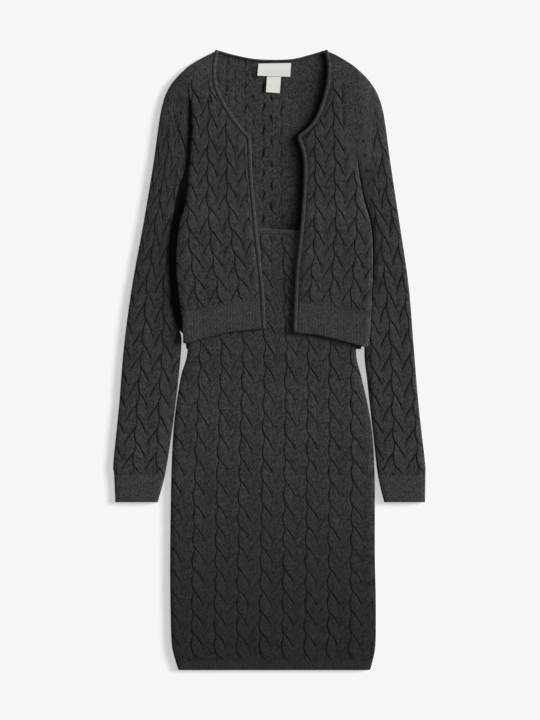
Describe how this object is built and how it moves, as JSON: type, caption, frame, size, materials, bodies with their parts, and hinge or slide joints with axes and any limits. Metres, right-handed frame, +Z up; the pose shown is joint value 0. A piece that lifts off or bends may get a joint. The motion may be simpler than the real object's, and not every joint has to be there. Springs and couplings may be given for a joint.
{
  "type": "cable-knit sweater dress with matching open bolero, laid flat",
  "caption": "Charcoal cable-knit sheath dress lying flat under a matching cropped, open, long-sleeved bolero with ribbed hem bands, cuffs and rolled edges.",
  "frame": {"origin": "middle of the outfit's outline, on the surface that it lies on", "axes": "+X to the right seen from above, +Y towards the neck, +Z up from the surface"},
  "size_m": [0.5007, 0.9935, 0.0191],
  "materials": {
    "knit_body": "matte cable knit in heather charcoal yarn",
    "knit_rib": "matte fine rib knit in heather charcoal yarn",
    "label_cloth": "smooth woven satin label, unprinted"
  },
  "bodies": {
    "root": {"dress_front": "knit_body", "dress_back": "knit_body", "dress_neck_trim_front": "knit_rib", "dress_neck_trim_back": "knit_rib", "dress_hem_front": "knit_rib", "dress_hem_back": "knit_rib", "strap_left": "knit_rib", "strap_right": "knit_rib", "bolero_back": "knit_body", "bolero_front_left": "knit_body", "bolero_front_right": "knit_body", "bolero_band_back": "knit_rib", "bolero_band_left": "knit_rib", "bolero_band_right": "knit_rib", "binding_left": "knit_rib", "binding_right": "knit_rib", "binding_neck": "knit_rib", "sleeve_left": "knit_body", "sleeve_right": "knit_body", "cuff_left": "knit_rib", "cuff_right": "knit_rib", "main_label": "label_cloth", "size_label": "label_cloth"}
  },
  "joints": []
}
